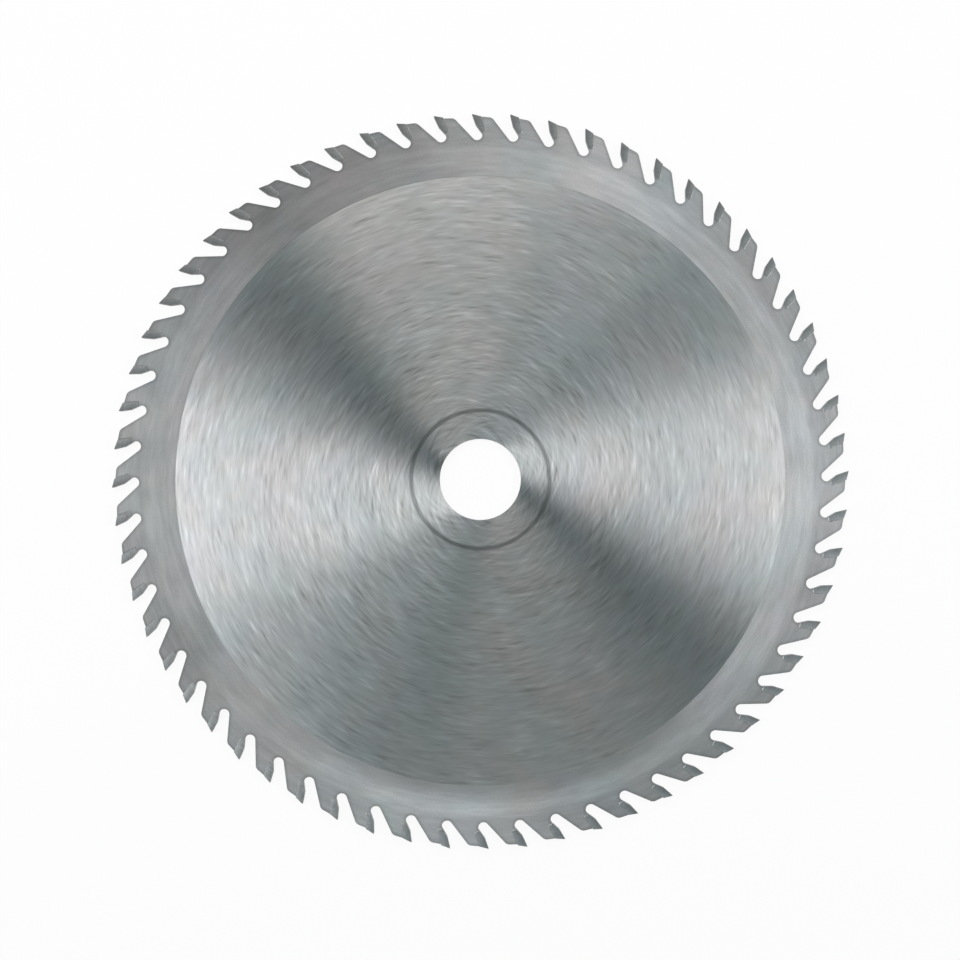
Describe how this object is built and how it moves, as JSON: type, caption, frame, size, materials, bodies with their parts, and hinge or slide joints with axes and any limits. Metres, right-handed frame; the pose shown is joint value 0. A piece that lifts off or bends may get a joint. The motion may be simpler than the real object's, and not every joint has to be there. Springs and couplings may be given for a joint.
{
  "type": "circular saw blade",
  "caption": "Thin round saw blade: a ground steel plate with a central arbor bore, leaning teeth and gullets, and alternately beveled carbide tips brazed into seats.",
  "frame": {"origin": "centre of the arbor bore, half way through the plate", "axes": "+Z along the bore axis, out of the face that the picture shows; +X through the point of one tip; the teeth cut counter-clockwise about +Z"},
  "size_m": [0.23, 0.23, 0.0026],
  "materials": {
    "plate_steel": "ground round the bore inside a matt blasted rim",
    "tip_carbide": "ground cemented carbide, dark grey"
  },
  "bodies": {
    "root": {"saw_plate": "plate_steel", "tip_pair_01": "tip_carbide", "tip_pair_02": "tip_carbide", "tip_pair_03": "tip_carbide", "tip_pair_04": "tip_carbide", "tip_pair_05": "tip_carbide", "tip_pair_06": "tip_carbide", "tip_pair_07": "tip_carbide", "tip_pair_08": "tip_carbide", "tip_pair_09": "tip_carbide", "tip_pair_10": "tip_carbide", "tip_pair_11": "tip_carbide", "tip_pair_12": "tip_carbide", "tip_pair_13": "tip_carbide", "tip_pair_14": "tip_carbide", "tip_pair_15": "tip_carbide", "tip_pair_16": "tip_carbide", "tip_pair_17": "tip_carbide", "tip_pair_18": "tip_carbide", "tip_pair_19": "tip_carbide", "tip_pair_20": "tip_carbide", "tip_pair_21": "tip_carbide", "tip_pair_22": "tip_carbide", "tip_pair_23": "tip_carbide", "tip_pair_24": "tip_carbide", "tip_pair_25": "tip_carbide", "tip_pair_26": "tip_carbide", "tip_pair_27": "tip_carbide", "tip_pair_28": "tip_carbide", "tip_pair_29": "tip_carbide", "tip_pair_30": "tip_carbide"}
  },
  "joints": []
}
